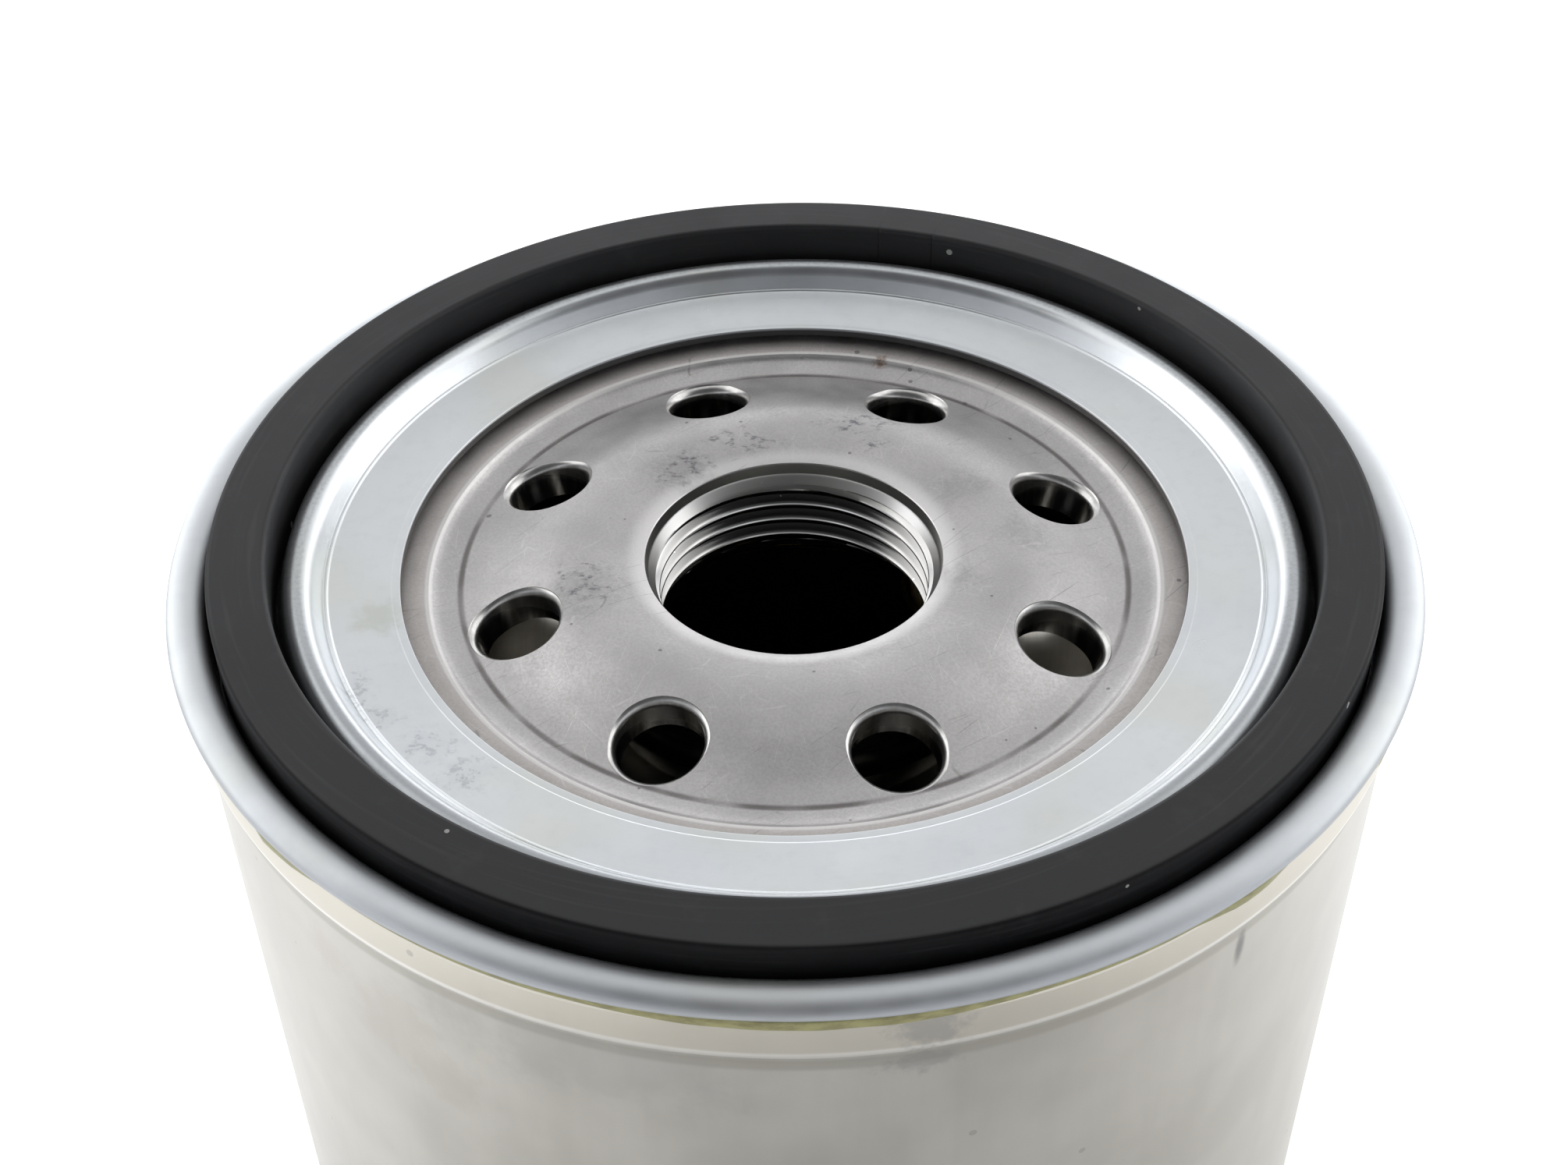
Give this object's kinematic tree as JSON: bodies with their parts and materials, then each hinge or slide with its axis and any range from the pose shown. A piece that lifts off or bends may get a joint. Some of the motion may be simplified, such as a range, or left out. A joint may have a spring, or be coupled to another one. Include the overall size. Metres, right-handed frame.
{
  "type": "spin-on oil filter",
  "caption": "Spin-on oil filter: tinplate can with a rolled seam, threaded base plate with inlet holes and a face gasket, holding a sprung pleated element with a bypass valve.",
  "frame": {"origin": "centre of the can's closed end, on the plane that its foot rests on", "axes": "+Z along the filter's axis, from the closed end towards the gasket and the thread"},
  "size_m": [0.0924, 0.0924, 0.114],
  "materials": {
    "tinplate": "satin tinplate, warm grey, lightly smudged",
    "zinc": "satin zinc plating, cool grey",
    "compound": "dull olive-yellow seam compound",
    "bare_steel": "bare pressed steel with fine scratches and a thin oil film",
    "rubber": "matt black moulded rubber",
    "bright_tinplate": "bright tinplate",
    "tube_steel": "plain pressed steel sheet",
    "spring_steel": "oiled spring wire",
    "paper": "resin-treated pleated filter paper",
    "plastisol": "cured plastisol, brick red",
    "nylon": "moulded black nylon"
  },
  "bodies": {
    "shell": {"canister": "tinplate", "seam_plate": "zinc", "seam_sealant": "compound", "base_plate": "bare_steel", "sealing_gasket": "rubber", "element_spring": "spring_steel"},
    "element": {"neck_grommet": "rubber", "upper_end_cap": "bright_tinplate", "lower_end_cap": "bright_tinplate", "upper_bond": "plastisol", "lower_bond": "plastisol", "pleated_media": "paper", "media_clip": "bright_tinplate", "centre_tube": "tube_steel", "spring_plate": "tube_steel", "bypass_seat": "tube_steel", "bypass_cage": "tube_steel", "bypass_spring": "spring_steel"},
    "poppet": {"bypass_poppet": "nylon", "bypass_seal": "rubber"}
  },
  "joints": [
    {"name": "element_float", "type": "slide", "parent": "shell", "child": "element", "axis": [0, 0, 1], "range_m": [-0.0025, 0], "stiffness_N_per_m": 3000, "springref_m": 0.006, "deforming": ["element_spring"]},
    {"name": "bypass_lift", "type": "slide", "parent": "element", "child": "poppet", "axis": [0, 0, 1], "range_m": [0, 0.004], "stiffness_N_per_m": 2000, "springref_m": -0.008, "deforming": ["bypass_spring"]}
  ]
}
